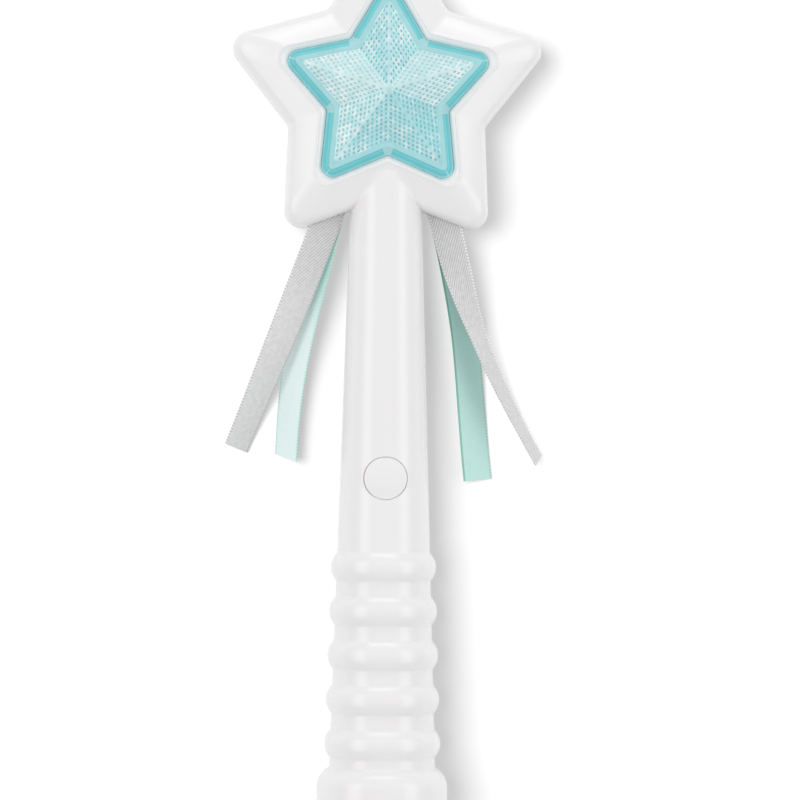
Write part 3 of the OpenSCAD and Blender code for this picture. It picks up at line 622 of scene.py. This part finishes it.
starSpots = [(screws["starRadius"] * np.cos(a), star["middle"] + screws["starRadius"] * np.sin(a))
             for a in np.radians(screws["starAngles"])]
handleWells = [rodMesh(0, l, screws["well"], -beyond, -screws["seat"]) for l in screws["handleAt"]]
starWells = [rodMesh(x, l, screws["well"], -beyond, -screws["seat"]) for x, l in starSpots]
ledgeCut = doorSlab(door["ledge"], lambda l: 0 * l + beyond, door["halfWidth"], door["low"], door["high"],
                    door["cutGrid"], "ledgeCut")
openHalf = door["halfWidth"] - door["ledgeIn"]
openCut = makeMesh("openCut", place(*boxCorners(
    (-openHalf, openHalf), (-beyond, -door["openFrom"]),
    (door["low"] + door["ledgeEnd"], door["high"] - door["ledgeEnd"])).T), boxFaces)
rearHandle = carved(makeMesh("rearHandle", *handleHalf(-1)), [*handleWells, ledgeCut, openCut])
rearBack = carved(makeMesh("rearBack", *rearStar()), [*starWells, *slotCutters()])


def wellCup(x, l, outside):
    # a cup for a screw's head: a wall round the well, to just under the outside, and a floor with the screw's hole
    p = screws
    well, seat, hole = p["well"], p["seat"], p["cupHole"]
    wide, floor, deep = well + p["cupWall"], seat - p["cupFloor"], outside - p["cupUnder"]
    profile = [(hole, -floor), (wide, -floor), (wide, -deep), (well, -deep), (well, -seat), (hole, -seat)]
    return makeMesh("cup", *turnedSolid(profile, x, l, p["turns"]))


cups = [wellCup(0, l, coneRadius(max(l, handle["pommelHeight"]))) for l in screws["handleAt"]]
cups += [wellCup(x, l, star["rear"]) for x, l in starSpots]
makePiece("rearShell", joinedMesh("rearShell", rearHandle, rearBack, *cups), whiteAbs, "wand",
          ["rear_shell"])


def doorCup():
    # the door's boss: a cup for its screw's head, its floor under the seat
    p = door
    outside = coneRadius(p["screw"])
    seat, rim = outside - p["seatIn"], outside + p["proud"]
    floor = seat - p["bossThick"]
    profile = [(p["hole"], -floor), (p["boss"], -floor), (p["boss"], -rim), (p["head"], -rim), (p["head"], -seat),
               (p["hole"], -seat)]
    return makeMesh("doorCup", *turnedSolid(profile, 0, p["screw"], p["turns"]))


doorSkin = carved(doorSlab(door["ledge"] - door["fit"], handleRadius, door["halfWidth"] - door["gap"],
                           door["low"] + door["gap"], door["high"] - door["gap"], door["skinGrid"], "doorSkin"),
                  [rodMesh(0, door["screw"], door["boss"] - door["fit"], -beyond, -door["holeFrom"])])
makePiece("batteryDoor", joinedMesh("batteryDoor", doorSkin, doorCup()), whiteAbs, "battery_cover",
          ["battery_door"])

# lens: a teal star with a deep bevel, a pale flat band and ten facets set with small square pits

lens = {
    "gap": 0.04, "bevel": 2.6, "band": 1.5, "seat": 8.17, "edgeHeight": 10.5, "bandHeight": 13.2, "top": 16.7,
    "flange": 1.4, "flangeThick": 1.5, "skin": 2.0, "cells": 12, "rib": 0.1, "floor": 0.4, "pit": 0.3,
    "steps": (8, 10, 8),
    # under the frame's seat, the edge's rounding, where its tint ends, the line moulded on the bevel, the band's
    # outer corner with its drop, and the rim before the facets
    "seatGap": 0.05, "soft": 0.1, "edgeEnd": 0.8, "line": (1.5, 1.75), "corner": 0.3, "cornerDrop": 0.03,
    "rim": 0.25,
    # tints along an edge, at a notch and on the mitre at a point, the mitre's paler tints a painted highlight along
    # it
    "deep": ("#72D2D9", "#72D2D9", "#72D2D9"), "bevelTint": ("#66CDD4", "#A9DFE3", "#AFE6EA"),
    "edgeTint": ("#B4EBEF", "#B9E5E8", "#C3EEF1"), "innerTint": ("#7FD8DE", "#B0E2E6", "#BCEBEE"),
    "bandTint": ("#A9DEE2", "#AEE0E4", "#CCEFF1"),
    "lineTint": ("#93D5DA", "#93D5DA", "#D2F1F3"),
    # the ribs' tint, the pits' deeper tint as painted shade, the white of the painted glints, the pits' random
    # spread in tone and its seed
    "ribTint": "#BFE8EC", "pitShadeTint": "#7ACDD3", "paintedGlintTint": "#FFFFFF", "shadeShare": 0.2, "seed": 7,
    "ridgeShine": 0.35, "middleDim": 0.6,  # share of the painted glints on the ridges, and share of them lost towards the middle
    # each arm's two sides, from the top arm round to the left: share of the painted light tint, or below 0
    # of the painted shade tint, set by how that side faces the lamps, and share of painted glints
    "paintedLitFacet": "#E9F8F9", "paintedShadeFacet": "#6CC8CF",
    "paintedLightHalves": (((0.0, 0.5), (-0.11, 0.5)), ((0.45, 0.5), (0.32, 0.85)), ((0.12, 0.8), (-0.17, 0.38)),
               ((-0.17, 0.38), (-0.35, 0.4)), ((0.2, 0.95), (0.42, 0.4))),
}


def lensRings():
    # rings from the hollow's roof, round the flange, up the side, over the bevel and onto the band:
    # how far inside the window, how high and in which tint
    p = lens
    front = p["seat"] - p["seatGap"]
    back = front - p["flangeThick"]
    slope = (p["bandHeight"] - p["edgeHeight"]) / (p["bevel"] - p["gap"])
    inset = p["bevel"] + p["band"]
    under = [(inset, p["bandHeight"] - p["skin"]), (p["skin"], front), (p["skin"], back), (-p["flange"], back),
             (-p["flange"], front), (p["gap"], front)]
    bevel = [(p["gap"] + p["soft"], "edgeTint"), (p["edgeEnd"], "bevelTint"), (p["line"][0], "bevelTint"),
             (p["line"][1], "innerTint"), (p["bevel"] - p["corner"], "bevelTint")]
    return [
        *((d, h, "deep") for d, h in under),
        (p["gap"], p["edgeHeight"] - p["soft"], "edgeTint"),
        *((d, p["edgeHeight"] + slope * (d - p["gap"]), name) for d, name in bevel),
        (p["bevel"], p["bandHeight"] - p["cornerDrop"], "bandTint"),
        (p["bevel"] + p["corner"], p["bandHeight"], "bandTint"),
        (inset - p["rim"], p["bandHeight"], "bandTint"),
        (inset, p["bandHeight"], "lineTint"),
    ]


def lensFacets():
    # each facet runs from the band's notch to its point (s) and to the middle (t); n by n skewed cells fill
    # the half where s + t < 1, each with a flat rib round it and a pit in it, the pit painted a deeper teal as its
    # shade; some corners of the ribs get a painted glint
    p = lens
    n, rib, floor = p["cells"], p["rib"], p["floor"]
    square = np.array([(0, 0), (1, 0), (1, 1), (0, 1)], float)
    cell = np.concatenate([square, square * (1 - 2 * rib) + rib, square * (1 - 2 * floor) + floor])
    ring = np.arange(4)
    after = (ring + 1) % 4
    walls = [np.stack([ring + k, after + k, after + k + 4, ring + k + 4], 1) for k in (0, 4)]
    cellFaces = np.concatenate([*walls, [ring + 8]])
    i, j = (v.ravel() for v in np.meshgrid(np.arange(n), np.arange(n), indexing="ij"))
    places = np.stack([i, j], 1)[:, None]
    cells = (places[i + j < n - 1] + cell) / n
    ridges = (places[i + j == n - 1] + square[[0, 1, 3]]) / n
    st = np.concatenate([cells.reshape(-1, 2), ridges.reshape(-1, 2)])
    inCells, inRidges = len(cells) * len(cell), len(ridges) * 3
    pit = np.concatenate([np.tile(np.arange(len(cell)) >= 8, len(cells)), np.zeros(inRidges, bool)])
    shine = np.repeat([1.0, p["ridgeShine"]], [inCells, inRidges])
    corner = np.round(st * n).astype(int)
    sides = (cellFaces + len(cell) * np.arange(len(cells))[:, None, None]).reshape(-1, 4).tolist()
    sides += (np.arange(inRidges).reshape(-1, 3) + inCells).tolist()
    band = grownStar(star["window"], -p["bevel"] - p["band"])
    ribTint, pitShadeTint, paintedGlintTint, paintedLitTint, paintedShadeTint = (
        np.array(tint(p[key])) for key in ("ribTint", "pitShadeTint", "paintedGlintTint", "paintedLitFacet", "paintedShadeFacet"))
    draws = np.random.default_rng(p["seed"])
    points, faces, tints = [], [], []
    for k in range(5):
        for way in (-1, 1):
            toTip = np.pi / 2 + 2 * armHalf * k
            toNotch = toTip + way * armHalf
            tip = np.array((band[0] * np.cos(toTip), band[0] * np.sin(toTip)))
            notch = np.array((band[1] * np.cos(toNotch), band[1] * np.sin(toNotch)))
            flat = notch + st[:, :1] * (tip - notch) - st[:, 1:] * notch
            h = p["bandHeight"] + (p["top"] - p["bandHeight"]) * st[:, 1] - p["pit"] * pit
            faces += [[v + len(points) * len(st) for v in f] for f in sides]
            points.append(place(flat[:, 0], h, star["middle"] + flat[:, 1]))
            paintedLight, glintShare = p["paintedLightHalves"][k][(1 + way) // 2]
            glints = np.clip(1 - draws.uniform(0, 1, (n + 1, n + 1)) / glintShare, 0, 1)
            glint = shine * glints[corner[:, 0], corner[:, 1]] * (1 - p["middleDim"] * st[:, 1])
            shade = np.repeat(draws.uniform(0, 1, len(cells)), len(cell))
            shade = np.concatenate([shade, np.zeros(inRidges)])[:, None]
            # painted shade deepens each pit's teal; painted glints whiten the corners of the ribs
            facetTint = np.where(pit[:, None], pitShadeTint * (1 + p["shadeShare"] * (2 * shade - 1)),
                                 ribTint + glint[:, None] * (paintedGlintTint - ribTint))
            # painted light and shade: each side's tint moved towards the lit or the shaded facet tint by how it
            # faces the lamps
            tints.append(facetTint + abs(paintedLight) * ((paintedLitTint if paintedLight > 0 else paintedShadeTint) - facetTint))
    return np.concatenate(points), faces, np.concatenate(tints)


def lensMesh():
    # the rings, the roof inside and the facets as one closed solid with a tint at each point
    p = lens
    insets, heights, tintNames = zip(*lensRings())
    outlines = [grownStar(star["window"], -d) for d in insets]
    outlines[-1] = (*outlines[-1][:2], 0, 0)  # sharp corners, as the facets have
    loops = starLoops(outlines, p["steps"])
    count = loops.shape[1]
    armPart = np.arange(count) % (count // 5)
    notchMiddle = sum(p["steps"]) + 2
    zone = np.where(np.abs(armPart - notchMiddle) <= p["steps"][2], 1, np.where(armPart == 0, 2, 0))
    ringTints = np.array([[tint(code) for code in p[name]] for name in tintNames])[:, zone]
    ringPoints = place(loops[..., 0], np.array(heights)[:, None], star["middle"] + loops[..., 1]).reshape(-1, 3)
    roof = place(0.0, p["top"] - p["skin"], star["middle"])[None]
    around = np.arange(count)
    cone = np.stack([around, (around + 1) % count, np.full(count, len(ringPoints))], 1)
    facetPoints, facetFaces, facetTints = lensFacets()
    first = len(ringPoints) + 1
    faces = gridFaces(len(insets), count, False, True).tolist() + cone.tolist()
    faces += [[v + first for v in f] for f in facetFaces]
    tints = np.concatenate([ringTints.reshape(-1, 4), [tint(p["deep"][0])], facetTints])
    points = np.concatenate([ringPoints, roof, facetPoints])
    return makeMesh("starLens", points, faces, {"lensTint": ("FLOAT_COLOR", "color", tints)})


makePiece("starLens", lensMesh(), tealLens, "wand", ["star_lens"], sharp=12)

# ribbons: two grey over two mint, out of the slots and down to the table

ribbons = {
    "width": 10.0, "thick": 0.3, "inside": 6.0, "steps": 520, "profile": 13, "picot": 0.04, "picotPitch": 1.1,
    "tableGap": 0.35, "cadThick": 0.4, "layerGap": 0.05, "tailSteps": 29,
    # side, layer, splay at the slot and at the end with its bow between, roll half way and at the end,
    # length seen from above, how soon it falls, slant of the cut
    "leftGreyRibbon": (-1, -0.5, (20.2, 22.0, 0.4), (-6, 38), 82.0, 0.75, 0.0),
    "leftMintRibbon": (-1, 0.5, (12.2, 1.8, 3.4), (-13, -43), 82.0, 1.3, 1.2),
    "rightGreyRibbon": (1, -0.5, (13.6, 29.4, 1.5), (43, 66), 87.5, 0.75, -0.7),
    "rightMintRibbon": (1, 0.5, (14.0, 6.3, -2.9), (31, 18), 87.5, 1.3, 0.0),
}
lean = np.arcsin(-along[2])  # how far the wand dips towards its star
restHeight = buttMiddle[2] / mm  # the seam's height at the butt


def ribbonStrip(side, layer, splay, rolls, length, fall, slant):
    # a strip carried along a path that leaves the slot, turns from one splay to another and falls to the table
    p = ribbons
    u = np.linspace(0, 1, p["steps"])
    turn = np.radians(splay[0] + (splay[1] - splay[0]) * easeInOut(u) + splay[2] * np.sin(np.pi * u))
    step = length / (p["steps"] - 1)
    run = np.cumsum(np.stack([np.sin(turn), -np.cos(turn)], 1) * step, 0)
    run -= run[0]
    depth = layer * (p["cadThick"] + p["layerGap"])
    rise = p["width"] / 2 * abs(np.sin(np.radians(rolls[1]))) + p["cadThick"] + p["tableGap"]
    table = (restHeight - (slot["l"] + run[-1, 1]) * np.sin(lean)) / np.cos(lean)
    drop = depth + (table - rise - depth) * easeInOut(1 - (1 - u) ** fall)
    path = np.stack([side * (slot["x"] + run[:, 0]), -drop, slot["l"] + run[:, 1]], 1)
    tail = upTo(p["inside"], 0, p["tailSteps"])[:, None]
    slotTurn = np.radians(slot["turn"])
    path = np.concatenate([path[0] + tail * (-side * np.sin(slotTurn), 0, np.cos(slotTurn)), path])
    u = np.concatenate([np.zeros(p["tailSteps"]), u])
    heading = np.gradient(path, axis=0)
    heading /= np.linalg.norm(heading, axis=1)[:, None]
    wide = np.stack([-heading[:, 2], 0 * u, heading[:, 0]], 1)
    wide /= np.linalg.norm(wide, axis=1)[:, None]
    face = np.cross(wide, heading)
    angle = np.radians(rolls[0] * easeInOut(2 * u) + (rolls[1] - rolls[0]) * easeInOut(u))[:, None]
    cross = wide * np.cos(angle) - face * np.sin(angle)
    normal = np.cross(cross, heading)
    s = np.concatenate([[0], np.cumsum(np.linalg.norm(np.diff(path, axis=0), axis=1))])
    v = np.linspace(-1, 1, p["profile"])
    v = np.concatenate([v, v[::-1]])
    layerAt = np.repeat([0.5, -0.5], p["profile"]) * p["thick"]
    at = s[:, None] * (1 + (slant * v - abs(slant)) / s[-1])
    picot = p["picot"] * np.sin(np.pi * at / p["picotPitch"]) ** 2 * (np.abs(v) == 1)
    reach = v * (p["width"] / 2) + np.sign(v) * picot

    def along3(values):
        # what runs along the path, at each point of the slanted rows
        return np.stack([np.interp(at, s, values[:, k]) for k in range(3)], -1)

    points = along3(path) + along3(cross) * reach[..., None] + along3(normal) * layerAt[:, None]
    count = len(v)
    faces = gridFaces(len(s), count, False, True)
    i = np.arange(p["profile"] - 1)
    cap = np.stack([i, i + 1, count - 2 - i, count - 1 - i], 1)
    faces = np.concatenate([faces, cap, cap + (len(s) - 1) * count])
    weave = np.stack([np.broadcast_to(reach, at.shape), at, 0 * at], -1).reshape(-1, 3)
    spots = place(*np.moveaxis(points, -1, 0)).reshape(-1, 3)
    return spots, faces, weave, s[-1]


for ribbonName, nodeName, cloth, slotName in (
        ("leftGreyRibbon", "left_grey_ribbon", greySatin, "grey_satin"),
        ("leftMintRibbon", "left_mint_ribbon", mintSatin, "mint_satin"),
        ("rightGreyRibbon", "right_grey_ribbon", greyShadedCopy, "grey_satin"),
        ("rightMintRibbon", "right_mint_ribbon", mintShadedCopy, "mint_satin")):
    spots, faces, weave, clothLength = ribbonStrip(*ribbons[ribbonName])
    strip = makeMesh(ribbonName, spots, faces, {"weave": ("FLOAT_VECTOR", "vector", weave)})
    piece = makePiece(ribbonName, strip, cloth, "wand", [nodeName])

# stage: a white table with its own sun, even light all round, a strip on each side and a low lamp past the star

# sizes and places in m: the light all round, the table's glow and its two shades, the sun's strength, direction and
# softness in degrees, the lamps' brightness
stage = {"floor": 3.0, "world": 0.61, "lift": 0.485, "paper": 0.15, "bounce": 0.19,
         "shade": 9.8, "shadeFrom": (-0.4, 0.08, 1.0), "shadeSoft": 30.0,
         "strip": 1.9, "stripSize": (0.44, 1.2), "stripAt": (0.82, 0.0, 0.68),
         "top": 5.8, "topSize": (0.85, 0.11), "topAt": (0.0, 1.0, 0.34), "aim": (0.0, 0.0, 0.02)}

floorMesh = bpy.data.meshes.new("table")
half = stage["floor"] / 2
floorMesh.from_pydata([(-half, -half, 0), (half, -half, 0), (half, half, 0), (-half, half, 0)], [], [(0, 1, 2, 3)])
table = bpy.data.objects.new("table", floorMesh)
scene.collection.objects.link(table)
# white paper: the camera also sees a plain glow, which makes the open table white and keeps the shadow
paper, tree, out = newMaterial("whitePaper")
ray = addNode(tree, "ShaderNodeLightPath", {}, {}).outputs
seen = mathNode(tree, "MAXIMUM", ray["Is Camera Ray"], ray["Is Glossy Ray"])
seen = mathNode(tree, "MAXIMUM", seen, ray["Is Transmission Ray"])
glow = mathNode(tree, "MULTIPLY", seen, stage["lift"])
light = addNode(tree, "ShaderNodeEmission", {}, {"Color": (1, 1, 1, 1), "Strength": glow})
share = rangeNode(tree, ray["Is Diffuse Ray"], to=(stage["paper"], stage["bounce"]))
matt = addNode(tree, "ShaderNodeBsdfDiffuse", {}, {"Color": share})
both = addNode(tree, "ShaderNodeAddShader", {}, {0: light.outputs[0], 1: matt.outputs[0]})
tree.links.new(both.outputs[0], out.inputs[0])
floorMesh.materials.append(paper)

world = bpy.data.worlds.new("studio")
scene.world = world
world.use_nodes = True
tree = world.node_tree
tree.nodes.clear()
ray = addNode(tree, "ShaderNodeLightPath", {}, {}).outputs
level = rangeNode(tree, ray["Is Camera Ray"], to=(stage["world"], 1.0))
sky = addNode(tree, "ShaderNodeBackground", {}, {"Color": (1, 1, 1, 1), "Strength": level})
addNode(tree, "ShaderNodeOutputWorld", {}, {0: sky.outputs[0]})


def aimed(spot, back, top):
    # a place and a turn: Z is back, X is top x back as a unit, Y is back x X
    side = np.cross(top, back)
    side /= np.linalg.norm(side)
    turn = np.stack([side, np.cross(back, side), back], 1)
    return Matrix(np.block([[turn, np.array(spot, float)[:, None]], [np.zeros((1, 3)), np.ones((1, 1))]]).tolist())


def addLamp(name, kind, settings, spot, aim):
    # a lamp at a spot, turned to the aim
    data = bpy.data.lights.new(name, kind)
    for key, value in settings.items():
        setattr(data, key, value)
    lamp = bpy.data.objects.new(name, data)
    back = np.array(spot, float) - np.array(aim, float)
    lamp.matrix_world = aimed(spot, back / np.linalg.norm(back), (0.0, 1.0, 0.0))
    scene.collection.objects.link(lamp)
    return lamp


def addPanel(name, brightness, size, spot):
    # a flat lamp given by how bright it looks: power = brightness * pi * area
    settings = {"energy": brightness * np.pi * size[0] * size[1], "shape": "RECTANGLE", "size": size[0],
                "size_y": size[1]}
    addLamp(name, "AREA", settings, spot, stage["aim"])


# a sun for the table alone gives the shadow beside the wand; the wand itself stays evenly lit
shadeLamp = addLamp("shadeLamp", "SUN", {"energy": stage["shade"], "angle": np.radians(stage["shadeSoft"])},
                    stage["shadeFrom"], (0, 0, 0))
shaded = bpy.data.collections.new("shaded")
shaded.objects.link(table)
shadeLamp.light_linking.receiver_collection = shaded
for side in (-1, 1):
    addPanel("stripLamp", stage["strip"], stage["stripSize"], (side * stage["stripAt"][0], *stage["stripAt"][1:]))
addPanel("topLamp", stage["top"], stage["topSize"], stage["topAt"])
print("stage ready")

# camera: straight above, a little to the left, the picture's middle beside the shaft
camera = {"away": 1100.0, "field": 266.67, "lookX": 5.1, "lookL": 143.0, "leftward": 2.3, "roll": 0.49}
cameraData = bpy.data.cameras.new("camera")
cameraData.angle = 2 * np.arctan(camera["field"] / 2 / camera["away"])
cameraData.clip_end = 20
eye = bpy.data.objects.new("camera", cameraData)
target = place(camera["lookX"], 0.0, camera["lookL"])
off, roll = np.radians((camera["leftward"], camera["roll"]))
backward = np.array((-np.sin(off), 0, np.cos(off)))
top = np.array((-np.sin(roll), np.cos(roll), 0))
eye.matrix_world = aimed(target + backward * camera["away"] * mm, backward, top)
scene.collection.objects.link(eye)
scene.camera = eye
